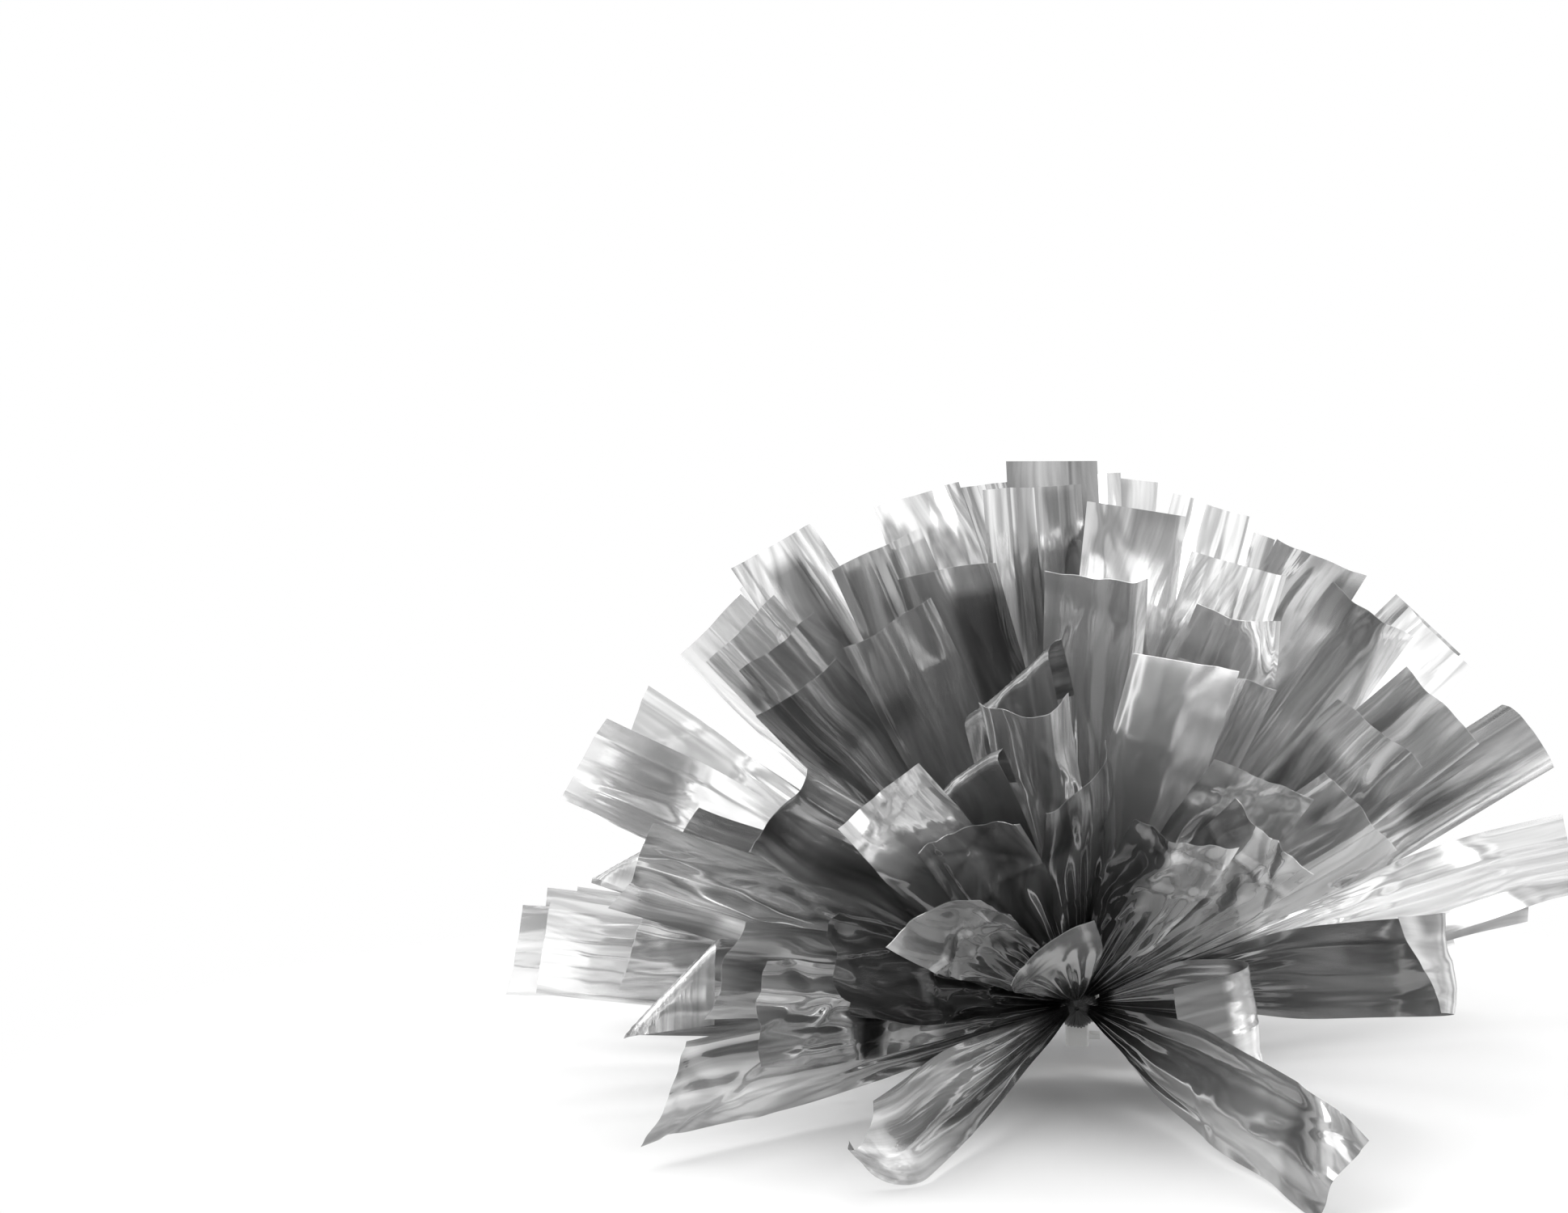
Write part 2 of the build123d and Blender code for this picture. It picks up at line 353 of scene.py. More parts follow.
def leaf_shape(rng, look):
    """The middle surface of a leaf as a grid of points, and the film's own coordinates.

    Most random values are drawn even where the look gives its own, so that a change to one
    entry of the look leaves the rest of the leaf as it is."""
    lines = fold_lines(rng)
    columns = columns_between(lines)
    length = look.get("length", LEAF_LENGTH + rng.uniform(*USUAL_LENGTH))
    rows = np.linspace(ROOT_REACH, length, ROWS)
    opened = (rows - ROOT_REACH) / (look.get("open_at", OPEN_AT) - ROOT_REACH)
    closing = (1 - opened + np.sqrt((1 - opened) ** 2 + OPEN_ROUNDING)) / 2
    openness = NECK_SHARE + (1 - NECK_SHARE) * np.clip(1 - closing, 0, 1)
    reach, share = np.meshgrid(rows, columns, indexing="ij")
    flat = share * FILM_WIDTH / 2
    slant = math.tan(math.radians(look.get("cut", rng.normal(0, USUAL_CUT))))
    ahead = reach + flat * slant * smooth(CUT_FROM, length, reach)
    points = np.stack((ahead, flat * openness[:, None], np.zeros_like(reach)), axis=-1)
    points[..., 2] += pleats(rng, lines, columns, rows, openness)
    side, run = flat, reach
    for start, heading, radius, angle in look.get("folds", ()):
        folded = bend(points, start, heading, radius, angle)
        moved = np.abs(folded - points).sum(axis=-1) > 1e-6
        side = np.where(moved, folded[..., 1], side)
        run = np.where(moved, folded[..., 0], run)
        points = folded
    points[..., 2] += waves(rng, side, run, look.get("waves", rng.uniform(*USUAL_WAVES)))
    count, height = look.get("creases", USUAL_CREASES), look.get("crumple", USUAL_CRUMPLE)
    points[..., 2] += creases(rng, side, run, count, height)
    points = cup(points, look.get("cup", rng.uniform(*USUAL_CUP)))
    points = twist(points, look.get("twist", rng.uniform(*USUAL_TWIST)))
    curl = () if "folds" in look else tip_curl(rng)
    for start, heading, radius, angle in look.get("bends", curl):
        points = bend(points, start, heading, radius, angle)
    bow = look.get("bow", rng.uniform(*USUAL_BOW))
    if abs(bow) > NEARLY_STRAIGHT:
        radius = (LEAF_LENGTH - BOW_FROM) / math.radians(abs(bow))
        points = bend(points, BOW_FROM, 0, radius, bow)
    return points, flat, reach


# ---------------------------------------------------------------- meshes


def grid_normals(points):
    """Unit normals of a grid of points."""
    normal = np.cross(np.gradient(points, axis=0), np.gradient(points, axis=1))
    return normal / np.linalg.norm(normal, axis=-1, keepdims=True)


def shell(points):
    """A thin closed shell round a grid of points: its vertices and quads."""
    rows, columns = points.shape[:2]
    off = grid_normals(points) * FILM_SHELL / 2
    verts = np.concatenate(((points + off).reshape(-1, 3), (points - off).reshape(-1, 3)))
    index = np.arange(rows * columns).reshape(rows, columns)
    quads = np.stack((index[:-1, :-1], index[1:, :-1], index[1:, 1:], index[:-1, 1:]), -1)
    quads = quads.reshape(-1, 4)
    back = quads[:, ::-1] + rows * columns
    rim = np.concatenate((index[0, :-1], index[:-1, -1], index[-1, :0:-1], index[:0:-1, 0]))
    after = np.roll(rim, -1)
    edge = np.stack((rim, after, after + rows * columns, rim + rows * columns), -1)
    smooth_faces = np.repeat((True, True, False), (len(quads), len(back), len(edge)))
    return verts, np.concatenate((quads, back, edge)), smooth_faces


def sharpen(mesh, flat):
    """Marks the edges of the flat quads as sharp, so that they don't shade the faces beside."""
    sides = np.sort(np.stack((flat, np.roll(flat, -1, axis=1)), -1).reshape(-1, 2))
    ends = np.zeros(len(mesh.edges) * 2, int)
    mesh.edges.foreach_get("vertices", ends)
    ends = np.sort(ends.reshape(-1, 2))
    size = len(mesh.vertices)
    sharp = np.isin(ends[:, 0] * size + ends[:, 1], sides[:, 0] * size + sides[:, 1])
    mesh.attributes.new("sharp_edge", "BOOLEAN", "EDGE").data.foreach_set("value", sharp)


def mesh_piece(name, verts, faces, rounded, uvs, looks, material):
    """A smooth mesh object with the film's own coordinates, and at each vertex its tone, which is painted light
    and shade, and how streaky it is."""
    mesh = bpy.data.meshes.new(name)
    mesh.from_pydata(verts.tolist(), [], [list(face) for face in faces])
    layer = mesh.uv_layers.new(name="film")
    corners = np.zeros(len(mesh.loops), int)
    mesh.loops.foreach_get("vertex_index", corners)
    layer.data.foreach_set("uv", uvs[corners].ravel())
    for label, values in zip(("tone", "streak"), looks.T):
        made = mesh.attributes.new(label, "FLOAT", "POINT")
        made.data.foreach_set("value", np.ascontiguousarray(values, np.float32))
    mesh.polygons.foreach_set("use_smooth", rounded)
    flat = [face for face, curved in zip(faces, rounded) if not curved]
    if flat:
        sharpen(mesh, np.array(flat))
    mesh.materials.append(material)
    mesh.update()
    piece = bpy.data.objects.new(name, mesh)
    bpy.context.scene.collection.objects.link(piece)
    return piece


def patch(flat, reach, near, far, low, high):
    """1 inside a stretch of the leaf and 0 outside it. low and high run from -1 to 1 across."""
    starts = smooth(near, near + PATCH_END_BLUR, reach)
    along = starts * (1 - smooth(far - PATCH_END_BLUR, far, reach))
    side, blur = flat / FILM_WIDTH * 2, PATCH_SIDE_BLUR
    return along * smooth(low - blur, low + blur, side) * (1 - smooth(high - blur, high + blur, side))


def random_painted_reflections(rng):
    """Painted reflections: stretches painted darker or lighter, as if the film mirrored something darker or
    lighter there, with a clean edge.
    """
    for _ in range(rng.integers(*PATCH_COUNT)):
        near, low = rng.uniform(*PATCH_START), rng.uniform(*PATCH_SIDE)
        far, high = near + rng.uniform(*PATCH_RUN), low + rng.uniform(*PATCH_WIDTH)
        yield near, far, low, high, rng.uniform(*PATCH_CHANGE)


def painted_leaf_light(rng, look, flat, reach):
    """Painted light and shade along and across a leaf: painted shade darkens the crowded root, and patches paint
    reflections, highlights and shade.
    """
    rises = (rise * smooth(start, end, reach) for rise, start, end in TONE_RISES)
    tone = look.get("tone", USUAL_TONE) * sum(rises, start=PAINTED_SHADE_AT_ROOT)
    for near, far, low, high, change in () if "patches" in look else random_painted_reflections(rng):
        tone = tone * (1 + (change - 1) * patch(flat, reach, near, far, low, high))
    for near, far, low, high, level in look.get("patches", ()):
        tone = tone + (level - tone) * patch(flat, reach, near, far, low, high)
    return tone


def leaf_mesh(name, along, across, face):
    """One leaf as placed film: vertices, faces, which faces are smooth, film coordinates and (tone, streak) at
    each vertex, where tone is painted light and shade."""
    rng = np.random.default_rng(zlib.crc32(name.encode()))
    look = LOOKS.get(name, {})
    points, flat, reach = leaf_shape(rng, look)
    local, faces, rounded = shell(points)
    verts = TIE + MM * (local[:, :1] * along + local[:, 1:2] * across + local[:, 2:] * face)
    offset = rng.uniform(0, FILM_VARIETY, 2)
    uvs = np.stack((flat, reach), -1).reshape(-1, 2) * MM * FILM_SCALE + offset
    tone = painted_leaf_light(rng, look, flat, reach).ravel()
    streak = np.full_like(tone, look.get("streak", rng.uniform(*USUAL_STREAK)))
    looks = np.stack((tone, streak), -1)
    both_sides = (2, 1)
    return verts, faces, rounded, np.tile(uvs, both_sides), np.tile(looks, both_sides)


def streamer(node, body, material):
    """The visual piece of one streamer: each leaf of its CAD node as shaped film."""
    name = node.replace("streamer_", "")
    parts, count, length = [], 0, 0.0
    for number, axes in enumerate(leaves_of(node)):
        verts, faces, rounded, uvs, looks = leaf_mesh(name + (" back" if number else ""), *axes)
        parts.append((verts, faces + count, rounded, uvs, looks))
        count += len(verts)
        length += LOOP_LENGTH if name == "curled" else LEAF_LENGTH
    piece = mesh_piece(node + "_film", *map(np.concatenate, zip(*parts)), material)
    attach(piece, body)
    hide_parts(node)


def gather(material):
    """The pinched middles of the streamers: a pleated bundle that closes over the dowel's nose."""
    spots, radii = np.array(GATHER_OUTLINE).T
    steps = np.linspace(0, len(spots) - 1, GATHER_ROWS)
    place = np.interp(steps, np.arange(len(spots)), spots)
    radius = np.interp(steps, np.arange(len(spots)), radii)
    count = GATHER_PLEATS * COLUMNS_PER_PLEAT
    around = np.arange(count) * math.tau / count
    rng = np.random.default_rng(GATHER_SEED)
    lumps = GATHER_LUMP_SHARE * rng.uniform(*GATHER_LUMP_STRENGTH)
    pattern = np.sin(around * GATHER_PLEATS) + lumps * np.sin(around * GATHER_LUMPS + 1)
    depth = GATHER_DEPTH * smooth(0, 5, radius)
    rings = radius[:, None] + depth[:, None] * pattern
    places = np.repeat(place[:, None], count, 1)
    points = np.stack((rings * np.cos(around), places, rings * np.sin(around)), axis=-1)
    index = np.arange(points.shape[0] * count).reshape(-1, count)
    after = np.roll(index, -1, axis=1)
    quads = np.stack((index[:-1], after[:-1], after[1:], index[1:]), -1).reshape(-1, 4)
    verts = TIE + MM * points.reshape(-1, 3)
    uvs = np.stack(np.broadcast_arrays(around * 5, place[:, None] / 10), -1).reshape(-1, 2)
    # Painted shade all over the bundle, with its streak strength.
    tones = np.tile((GATHER_PAINTED_SHADE, GATHER_STREAK), (len(verts), 1))
    faces = [list(quad) for quad in quads.tolist()]
    faces.append(index[0].tolist())
    faces.append(index[-1][::-1].tolist())
    piece = mesh_piece("gathered_film", verts, faces, [True] * len(faces), uvs, tones, material)
    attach(piece, "grip")
    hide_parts("pinched_film")


# Leaves whose shape or tone stands out. A name is the streamer's, and "back" is its second leaf.
# tone: painted light and shade, the film painted brighter where it mirrors light and darker where it lies in shade
# or mirrors something dark, and streak: how strong its lengthwise streaks are, both as bumps and as painted
# reflection streaks in its colour
# length, open_at: where the leaf ends, and where it has its full width
# cut: slant of its end. waves, creases, crumple: size of the waves, number and height of creases
# cup, twist, bow: angles that it curves across its width, turns about its length and bows along
# it. A cup or a bow towards the viewer is positive.
# folds, bends: (start, heading, radius, angle), before and after the waves and the cup
# patches: (near, far, low, high, tone), a stretch with a tone of its own: a painted highlight, reflection or shade
LOOKS = {
    "left_1": {"tone": 0.93, "length": 150},
    "left_2": {
        "tone": 0.82,
        "patches": ((143, 170, 0.1, 1.1, 0.3),),
        "creases": 5,
        "cup": 20,
        "twist": 0,
        "bow": 0,
        "bends": ((141, 50, 5, -150),),
    },
    "left_2 back": {
        "tone": 0.77,
        "cut": 22,
        "creases": 16,
        "crumple": 0.7,
        "cup": -44,
        "twist": -14,
        "bow": 4,
        "bends": (),
    },
    "left_3": {"tone": 1.15, "length": 146, "folds": ((134, -40, 1.5, 170),)},
    "left_4": {"tone": 0.9, "length": 148, "cup": 8, "folds": ((134, -42, 1.5, 170),)},
    "left_4 back": {"tone": 1.08, "waves": 1.2},
    "left_5": {"tone": 1.05, "length": 138, "creases": 20, "crumple": 0.7},
    "left_5 back": {
        "tone": 1.38,
        "streak": 0.5,
        "patches": (),
        "length": 158,
        "waves": 0.7,
        "cup": -42,
        "bow": -6,
    },
    "upper_left_1": {
        "tone": 1.40,
        "streak": 0.3,
        "patches": (),
        "length": 154,
        "waves": 1.1,
        "cup": 14,
        "bow": -5,
    },
    "upper_left_2": {"tone": 0.68, "length": 146, "waves": 1.3, "creases": 14, "cup": -26},
    "upper_left_2 back": {"tone": 0.82, "creases": 24, "crumple": 0.8, "cup": -20},
    "upper_left_3": {"tone": 0.90, "length": 150, "bow": 0, "folds": ((136, -45, 1.5, 170),)},
    "upper_left_4": {
        "tone": 0.8,
        "patches": ((62, 84, -0.2, 1.0, 1.2), (86, 104, -0.3, 1.0, 0.06)),
        "length": 140,
        "open_at": 92,
        "creases": 22,
        "crumple": 1.0,
        "cup": 60,
    },
    "upper_left_4 back": {
        "tone": 0.75,
        "length": 134,
        "open_at": 92,
        "waves": 1.0,
        "cup": 34,
        "bow": 6,
    },
    "upper_left_5": {"tone": 1.40, "streak": 0.4, "patches": (), "length": 151, "waves": 1.0},
    "upper_left_6": {
        "tone": 0.22,
        "length": 132,
        "open_at": 92,
        "creases": 40,
        "crumple": 1.8,
        "cup": 46,
        "twist": 46,
    },
    "high_left_1": {"tone": 1.00, "patches": ((70, 150, -0.35, 0.35, 0.35),), "length": 153},
    "high_left_1 back": {"tone": 1.15, "streak": 0.6, "patches": (), "length": 146, "cup": -24},
    "high_left_2": {"tone": 0.83, "length": 138, "waves": 1.2, "creases": 16},
    "high_left_2 back": {"tone": 0.6, "length": 142, "cup": -30},
    "high_left_3": {"tone": 0.62, "length": 140, "cup": -30},
    "high_left_3 back": {"tone": 0.90, "length": 144},
    "high_left_4": {"tone": 0.86},
    "high_left_5": {"tone": 0.80, "length": 152},
    "high_left_6": {
        "tone": 0.58,
        "patches": ((30, 92, -1.1, -0.1, 0.2),),
        "length": 134,
        "open_at": 92,
        "creases": 34,
        "crumple": 1.4,
        "cup": 60,
    },
    "high_left_6 back": {
        "tone": 0.69,
        "length": 140,
        "creases": 14,
        "crumple": 0.6,
        "cup": 36,
        "bends": ((112, -30, 20, -45),),
    },
    "top_left_1": {"tone": 0.72, "length": 150, "waves": 0.5},
    "top_left_1 back": {"tone": 0.77, "length": 152, "waves": 0.9},
    "top_left_2": {"tone": 0.7, "patches": ((96, 142, -1.1, 0.1, 0.2),), "length": 146, "bends": ()},
    "top_left_2 back": {"tone": 0.69, "length": 149, "waves": 1.2},
    "top_left_3": {"tone": 0.62, "length": 142, "cup": 30, "folds": ((126, 44, 1.5, -170),)},
    "top_left_3 back": {"tone": 0.6, "length": 146, "cup": -20, "twist": 14},
    "top_left_4": {
        "tone": 0.83,
        "streak": 0.1,
        "patches": (),
        "length": 130,
        "open_at": 90,
        "waves": 0.3,
        "creases": 4,
        "cup": 50,
        "twist": 30,
    },
    "top_left_4 back": {
        "tone": 0.54,
        "length": 138,
        "open_at": 90,
        "creases": 24,
        "crumple": 1.1,
        "cup": 50,
    },
    "top_1": {"tone": 0.5, "length": 150, "cup": 8},
    "top_1 back": {"tone": 0.54, "patches": ((120, 134, -1, 0.4, 0.9),), "length": 152},
    "top_2": {"tone": 0.72, "patches": ((122, 149, -1.1, -0.1, 0.95),), "length": 149},
    "top_2 back": {"tone": 0.77, "length": 152, "waves": 1.7, "twist": 6},
    "top_3": {"tone": 1.0, "length": 147, "waves": 0.9, "cup": -22},
    "top_4": {"tone": 1.0, "length": 138, "waves": 1.3, "creases": 16, "cup": -96, "bends": ()},
    "top_4 back": {"tone": 0.56, "length": 150, "twist": -16, "folds": ((130, 46, 1.5, -170),)},
    "top_5": {
        "tone": 0.5,
        "length": 132,
        "open_at": 92,
        "crumple": 0.8,
        "cup": -70,
        "twist": 58,
        "bends": (),
    },
    "top_5 back": {
        "tone": 1.62,
        "streak": 0.08,
        "patches": ((30, 70, -1.1, 1.1, 0.6),),
        "length": 146,
        "waves": 0.12,
        "creases": 3,
        "cup": 3,
        "twist": 2,
        "bow": -8,
        "bends": ((118, -8, 16, -9),),
    },
    "top_6 back": {"tone": 0.86, "length": 148},
    "top_right_1": {"tone": 0.92, "patches": ((132, 143, 0, 0.6, 1.2),), "length": 150, "waves": 0.9},
    "top_right_1 back": {"tone": 0.92, "length": 150},
    "top_right_2": {"tone": 0.98, "patches": ((60, 130, -0.3, 0.2, 0.2),), "length": 146, "waves": 1.0},
    "top_right_2 back": {
        "tone": 0.94,
        "patches": ((128, 147, -0.2, 0.8, 1.3), (128, 149, -1.1, -0.4, 0.4)),
        "length": 149,
        "waves": 0.8,
    },
    "top_right_3": {"tone": 1.1, "length": 146, "waves": 1.0, "bends": ((142, -50, 6, -70),)},
    "top_right_4": {
        "tone": 0.78,
        "patches": ((20, 150, 0.1, 1.1, 0.25),),
        "length": 134,
        "open_at": 92,
        "creases": 34,
        "crumple": 1.3,
        "cup": -40,
    },
    "top_right_4 back": {"tone": 0.77, "length": 138, "creases": 24, "crumple": 1.0},
    "top_right_6": {"tone": 0.85, "length": 136, "waves": 1.1, "bow": -14, "bends": ()},
    "high_right_1": {"tone": 1.15, "patches": ((60, 134, -0.9, -0.1, 0.3),), "length": 150},
    "high_right_2": {"tone": 1.01, "length": 150, "waves": 1.2, "cup": -16},
    "high_right_2 back": {"tone": 1.12, "length": 152, "waves": 0.4, "cup": 120, "bends": ()},
    "high_right_3": {"tone": 0.95, "length": 144, "waves": 1.2, "cup": 26},
    "high_right_3 back": {"tone": 1.03, "length": 146, "waves": 1.1},
    "high_right_4": {"tone": 0.93, "length": 147, "waves": 0.7},
    "high_right_5": {"tone": 0.92, "length": 136, "creases": 26, "crumple": 1.1, "cup": -30},
    "right_1": {"tone": 0.86, "length": 152, "waves": 1.3, "creases": 16, "crumple": 0.5},
    "right_1 back": {"tone": 0.78, "length": 146, "waves": 1.0},
    "lower_right_1": {
        "tone": 0.73,
        "streak": 0.25,
        "patches": ((130, 170, -1.1, 1.1, 0.42),),
        "length": 156,
        "open_at": 72,
        "creases": 22,
        "crumple": 0.4,
        "cup": -22,
        "twist": -6,
        "bow": 0,
        "bends": ((143, 45, 9, -100),),
    },
    "curled": {
        "tone": 1.4,
        "streak": 0.4,
        # Painted highlight on one side of the leaf up to its loop, painted shade on the other side and on the
        # turned-over end
        "patches": ((10, 60, 0.15, 1.1, 2.4), (10, 60, -1.1, 0.15, 0.3), (70, 110, -1.1, 1.1, 0.3)),
        "length": LOOP_LENGTH,
        "open_at": 34,
        "waves": 0.35,
        "cup": 0.1,
        "twist": 0,
        "bow": 0,
        "bends": ((LOOP_RUN, LOOP_SLANT, LOOP_RADIUS, LOOP_TURN),),
    },
    "bowed": {
        "tone": 0.61,
        "open_at": 60,
        "waves": 0.6,
        "cup": 0.1,
        "twist": 0,
        "bow": 0,
        "bends": ((130, 36, 16, 50), (BOW_START, BOW_SLANT, BOW_RADIUS, BOW_TURN)),
    },
}


# ---------------------------------------------------------------- materials


class Nodes:
    """A short way to build a node tree: each call adds a node and wires its inputs."""

    def __init__(self, tree):
        self.tree = tree
        tree.nodes.clear()

    def add(self, kind, inputs=None, **settings):
        """A node with its settings. An input is either a value or a socket to link from."""
        made = self.tree.nodes.new(kind)
        for key, value in settings.items():
            setattr(made, key, value)
        for key, value in (inputs or {}).items():
            if isinstance(value, bpy.types.NodeSocket):
                self.tree.links.new(value, made.inputs[key])
            else:
                made.inputs[key].default_value = value
        return made

    def ramp(self, factor, stops):
        """Greys along a factor, from stops of (place, level)."""
        made = self.add("ShaderNodeValToRGB", {"Fac": factor})
        elements = made.color_ramp.elements
        while len(elements) < len(stops):
            elements.new(0.5)
        for element, (place, level) in zip(elements, stops):
            element.position = place
            element.color = (level, level, level, 1)
        return made.outputs["Color"]

    def between(self, value, low, high):
        """Maps a noise's middle range onto low to high."""
        made = self.add(
            "ShaderNodeMapRange",
            {"Value": value, "From Min": 0.3, "From Max": 0.7, "To Min": low, "To Max": high},
        )
        return made.outputs["Result"]

    def multiply(self, first, second):
        made = self.add("ShaderNodeMath", operation="MULTIPLY")
        self.tree.links.new(first, made.inputs[0])
        self.tree.links.new(second, made.inputs[1])
        return made.outputs[0]

    def stretched(self, source, scale, **settings):
        """Noise stretched by a scale for each axis."""
        mapped = self.add("ShaderNodeMapping", {"Vector": source, "Scale": scale})
        noise = self.add("ShaderNodeTexNoise", {"Vector": mapped.outputs["Vector"], **settings})
        return noise.outputs["Fac"]


def new_material(name):
    """An empty node material, and a way to build its nodes."""
    made = bpy.data.materials.new(name)
    made.use_nodes = True
    return made, Nodes(made.node_tree)


def finish_material(nodes, shader):
    """Wires a shader to the material's output."""
    out = nodes.add("ShaderNodeOutputMaterial")
    nodes.tree.links.new(shader.outputs["BSDF"], out.inputs["Surface"])


def film_material():
    """Mirror film: soft pleat streaks along it, as bumps and as painted reflection streaks in its colour, smooth
    stretches between them and fine crinkles. Its colour also carries painted light and shade from each vertex.
    """
    made, nodes = new_material("metallised_film")
    film = nodes.add("ShaderNodeUVMap", uv_map="film").outputs["UV"]
    # The tone attribute is painted light and shade, and it scales the film's colour.
    tone = nodes.add("ShaderNodeAttribute", attribute_name="tone").outputs["Fac"]
    streak = nodes.add("ShaderNodeAttribute", attribute_name="streak").outputs["Fac"]
    drift = nodes.add("ShaderNodeTexNoise", {"Vector": film, "Scale": 1.7, "Detail": 1.0})
    swayed = nodes.add(
        "ShaderNodeVectorMath",
        {0: drift.outputs["Color"], 1: (0.22, 0.22, 0), 2: film},
        operation="MULTIPLY_ADD",
    ).outputs[0]
    broad = nodes.stretched(swayed, (10, 0.9, 1), Scale=1.0, Detail=1.0, Roughness=0.4)
    fine = nodes.stretched(swayed, (38, 1.3, 1), Scale=1.0, Detail=2.0, Roughness=0.5)
    cloud = nodes.stretched(film, (5, 3.4, 1), Scale=1.0, Detail=2.0, Distortion=0.3)
    place = nodes.stretched(film, (2.2, 1.3, 1), Scale=1.0, Detail=1.0)
    # Painted reflection streaks: light and dark lengthwise bands multiplied into the film's colour, as strong as
    # the streak attribute says.
    painted_streaks = nodes.ramp(broad, ((0.3, 0.36), (0.46, 0.74), (0.55, 0.95), (0.66, 1.15)))
    lines = nodes.ramp(fine, ((0.34, 0.62), (0.5, 0.92), (0.64, 1.1)))
    colour = (1, 1, 1, 1)
    for pattern in (painted_streaks, lines):
        colour = nodes.add(
            "ShaderNodeMix",
            {"Factor": streak, 6: colour, 7: pattern},
            data_type="RGBA",
            blend_type="MULTIPLY",
        ).outputs[2]
    toned = nodes.add("ShaderNodeVectorMath", {0: colour}, operation="SCALE")
    nodes.tree.links.new(tone, toned.inputs["Scale"])
    held = nodes.add("ShaderNodeVectorMath", {1: (1, 1, 1)}, operation="MINIMUM")
    nodes.tree.links.new(toned.outputs[0], held.inputs[0])
    streaked = nodes.add(
        "ShaderNodeMapRange",
        {"Value": place, "From Min": 0.42, "From Max": 0.6, "To Min": 0.12, "To Max": 1.0},
    ).outputs["Result"]
    streaked = nodes.multiply(streaked, streak)
    ridges = nodes.add(
        "ShaderNodeBump", {"Height": broad, "Strength": streaked, "Distance": 0.0011}
    )
    lined = nodes.add(
        "ShaderNodeBump",
        {
            "Height": fine,
            "Strength": streaked,
            "Distance": 0.00022,
            "Normal": ridges.outputs["Normal"],
        },
    )
    crinkle = nodes.add(
        "ShaderNodeBump",
        {"Height": cloud, "Strength": 0.35, "Distance": 0.0007, "Normal": lined.outputs["Normal"]},
    )
    shader = nodes.add(
        "ShaderNodeBsdfPrincipled",
        {
            "Base Color": held.outputs[0],
            "Metallic": 0.78,
            "Roughness": nodes.between(cloud, 0.08, 0.2),
            "Normal": crinkle.outputs["Normal"],
        },
    )
    finish_material(nodes, shader)
    return made


def moulded_material(name, colour, roughness, grain):
    """Moulded plastic with a slight mottle and a fine surface texture."""
    made, nodes = new_material(name)
    place = nodes.add("ShaderNodeTexCoord").outputs["Object"]
    mottle = nodes.stretched(place, (60, 60, 60), Scale=1.0, Detail=3.0)
    texture = nodes.stretched(place, (2600, 2600, 2600), Scale=1.0, Detail=2.0)
    level = nodes.ramp(mottle, ((0.3, 0.93), (0.7, 1.0)))
    tinted = nodes.add("ShaderNodeMix", {"Factor": 1.0}, data_type="RGBA", blend_type="MULTIPLY")
    nodes.tree.links.new(level, tinted.inputs[6])
    tinted.inputs[7].default_value = (*colour, 1)
    bump = nodes.add("ShaderNodeBump", {"Height": texture, "Strength": grain, "Distance": 0.0001})
    shader = nodes.add(
        "ShaderNodeBsdfPrincipled",
        {
            "Base Color": tinted.outputs[2],
            "Roughness": nodes.between(mottle, roughness * 0.8, roughness * 1.2),
            "Normal": bump.outputs["Normal"],
        },
    )
    finish_material(nodes, shader)
    return made


def wood_material():
    """Bare birch with grain along the dowel."""
    made, nodes = new_material("birch")
    place = nodes.add("ShaderNodeTexCoord").outputs["Object"]
    grain = nodes.stretched(place, (900, 24, 900), Scale=1.0, Detail=4.0, Distortion=0.4)
    colour = nodes.add("ShaderNodeMix", {"Factor": grain}, data_type="RGBA")
    colour.inputs[6].default_value = (0.72, 0.56, 0.38, 1)
    colour.inputs[7].default_value = (0.46, 0.32, 0.19, 1)
    bump = nodes.add("ShaderNodeBump", {"Height": grain, "Strength": 0.3, "Distance": 0.0002})
    shader = nodes.add(
        "ShaderNodeBsdfPrincipled",
        {
            "Base Color": colour.outputs[2],
            "Roughness": nodes.between(grain, 0.5, 0.7),
            "Normal": bump.outputs["Normal"],
        },
    )
    finish_material(nodes, shader)
    return made


def steel_material():
    """A ground steel pin, with marks round it."""
    made, nodes = new_material("ground_steel")
    place = nodes.add("ShaderNodeTexCoord").outputs["Object"]
    marks = nodes.stretched(place, (300, 300, 5000), Scale=1.0, Detail=3.0)
    bump = nodes.add("ShaderNodeBump", {"Height": marks, "Strength": 0.2, "Distance": 0.0001})
    shader = nodes.add(
        "ShaderNodeBsdfPrincipled",
        {
            "Base Color": nodes.ramp(marks, ((0.3, 0.5), (0.7, 0.66))),
            "Metallic": 1.0,
            "Roughness": nodes.between(marks, 0.22, 0.4),
            "Normal": bump.outputs["Normal"],
        },
    )
    finish_material(nodes, shader)
    return made


def dress(node, material):
    """Gives a carried-over CAD node its finished material."""
    for slot in frame["nodes"][node].material_slots:
        slot.material = material


# ---------------------------------------------------------------- studio


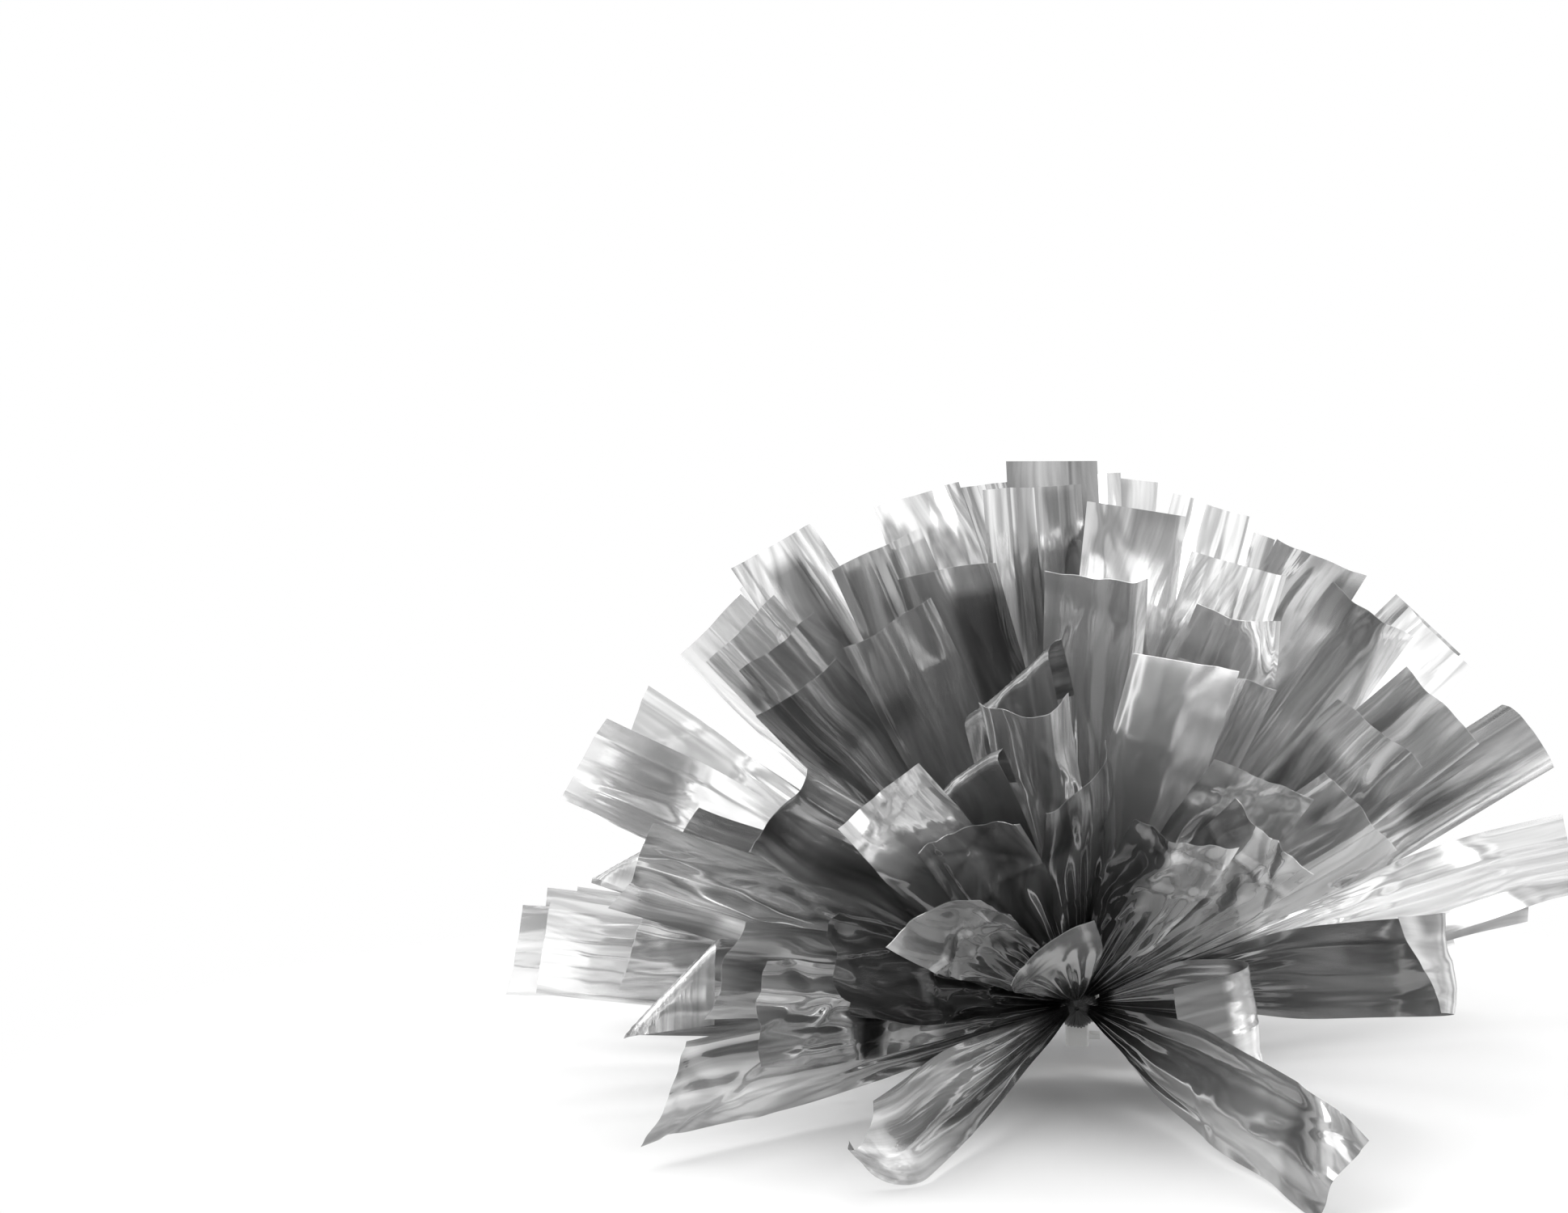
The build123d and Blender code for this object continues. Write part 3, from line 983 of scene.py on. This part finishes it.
def studio_world():
    """White behind the object, and a soft studio with light and dark areas in the reflections."""
    world = bpy.data.worlds.new("studio")
    bpy.context.scene.world = world
    world.use_nodes = True
    nodes = Nodes(world.node_tree)
    heading = nodes.add("ShaderNodeTexCoord").outputs["Generated"]
    height = nodes.add("ShaderNodeSeparateXYZ", {"Vector": heading}).outputs["Z"]
    lifted = nodes.add("ShaderNodeMapRange", {"Value": height, "From Min": -1.0}).outputs["Result"]
    overhead = nodes.ramp(lifted, ((0.0, 1.0), (0.45, 0.75), (0.72, 0.75), (1.0, 1.0)))
    patches = nodes.stretched(heading, (2.6, 2.6, 1.8), Scale=1.0, Detail=1.0, Distortion=0.7)
    banks = nodes.ramp(patches, ((0.38, 0.32), (0.5, 0.62), (0.62, 1.15)))
    seen = nodes.add("ShaderNodeMix", {"Factor": 1.0}, data_type="RGBA", blend_type="MULTIPLY")
    nodes.tree.links.new(overhead, seen.inputs[6])
    nodes.tree.links.new(banks, seen.inputs[7])
    light = {"Color": seen.outputs[2], "Strength": STUDIO_STRENGTH}
    studio = nodes.add("ShaderNodeBackground", light)
    white = nodes.add("ShaderNodeBackground", {"Color": (1, 1, 1, 1), "Strength": 1.0})
    camera = nodes.add("ShaderNodeLightPath").outputs["Is Camera Ray"]
    mixed = nodes.add("ShaderNodeMixShader", {"Fac": camera})
    nodes.tree.links.new(studio.outputs[0], mixed.inputs[1])
    nodes.tree.links.new(white.outputs[0], mixed.inputs[2])
    out = nodes.add("ShaderNodeOutputWorld")
    nodes.tree.links.new(mixed.outputs[0], out.inputs["Surface"])


def area_light(name, place, size, power):
    """A soft box that faces the spray."""
    light = bpy.data.lights.new(name, "AREA")
    light.shape = "RECTANGLE"
    light.size, light.size_y = size
    light.energy = power
    lamp = bpy.data.objects.new(name, light)
    lamp.location = place
    target = Vector(TIE) + Vector(LIGHT_AIM)
    lamp.rotation_euler = (target - lamp.location).to_track_quat("-Z", "Y").to_euler()
    bpy.context.scene.collection.objects.link(lamp)


def floor():
    """A plain pale floor just under the lowest streamer."""
    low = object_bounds()[0][2]
    mesh = bpy.data.meshes.new("floor")
    turns = ((-1, -1), (1, -1), (1, 1), (-1, 1))
    corners = [(x * FLOOR_REACH, y * FLOOR_REACH, low) for x, y in turns]
    mesh.from_pydata(corners, [], [(0, 1, 2, 3)])
    made, nodes = new_material("floor")
    place = nodes.add("ShaderNodeTexCoord").outputs["Object"]
    cloud = nodes.stretched(place, (3, 3, 3), Scale=1.0, Detail=2.0)
    shader = nodes.add(
        "ShaderNodeBsdfPrincipled",
        {"Base Color": nodes.ramp(cloud, ((0.3, 0.92), (0.7, 0.95))), "Roughness": 0.85},
    )
    apart = nodes.add("ShaderNodeVectorMath", {0: place, 1: TIE}, operation="DISTANCE")
    fade = nodes.add(
        "ShaderNodeMapRange",
        {"Value": apart.outputs["Value"], "From Min": FLOOR_SOLID, "From Max": FLOOR_GONE},
    )
    clear = nodes.add("ShaderNodeBsdfTransparent")
    blended = nodes.add("ShaderNodeMixShader", {0: fade.outputs["Result"]})
    nodes.tree.links.new(shader.outputs["BSDF"], blended.inputs[1])
    nodes.tree.links.new(clear.outputs["BSDF"], blended.inputs[2])
    out = nodes.add("ShaderNodeOutputMaterial")
    nodes.tree.links.new(blended.outputs[0], out.inputs["Surface"])
    mesh.materials.append(made)
    plane = bpy.data.objects.new("floor", mesh)
    bpy.context.scene.collection.objects.link(plane)
    plane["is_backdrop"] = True


def camera():
    """The photo's view: from the front, a little above, with the pom pom at the lower right."""
    data = bpy.data.cameras.new("camera")
    data.lens = CAMERA_LENS
    data.sensor_width = CAMERA_SENSOR
    tilt = math.radians(CAMERA_HEIGHT_ANGLE)
    made = bpy.data.objects.new("camera", data)
    back = Vector((0, -math.cos(tilt), math.sin(tilt)))
    up = Vector((0, math.sin(tilt), math.cos(tilt)))
    made.location = Vector(TIE) + back * CAMERA_DISTANCE
    aim = Vector(TIE) + Vector((-AIM_LEFT_OF_TIE, 0, 0)) + up * AIM_ABOVE_TIE
    made.rotation_euler = (aim - made.location).to_track_quat("-Z", "Y").to_euler()
    bpy.context.scene.collection.objects.link(made)
    bpy.context.scene.camera = made


# ---------------------------------------------------------------- the object

film = film_material()
for body, members in frame["record"]["behaviour"]["bodies"].items():
    for member in members:
        if member.startswith("streamer_"):
            streamer(member, body, film)

grip_plastic = moulded_material("grip_plastic", (0.5, 0.5, 0.51), 0.35, 0.15)
for node in ("grip_tube", "front_bush", "rear_bush", "end_cap"):
    dress(node, grip_plastic)
dress("cable_tie", moulded_material("nylon", (0.8, 0.8, 0.79), 0.45, 0.1))
dress("dowel", wood_material())
dress("cross_pin", steel_material())
gather(film)

studio_world()
for light in LIGHTS:
    area_light(*light)
floor()
camera()

bpy.context.scene.view_settings.view_transform = "Standard"

boxes = {"cad": cad_box, "visual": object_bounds()}
{name: [list(corner) for corner in box] for name, box in boxes.items()}
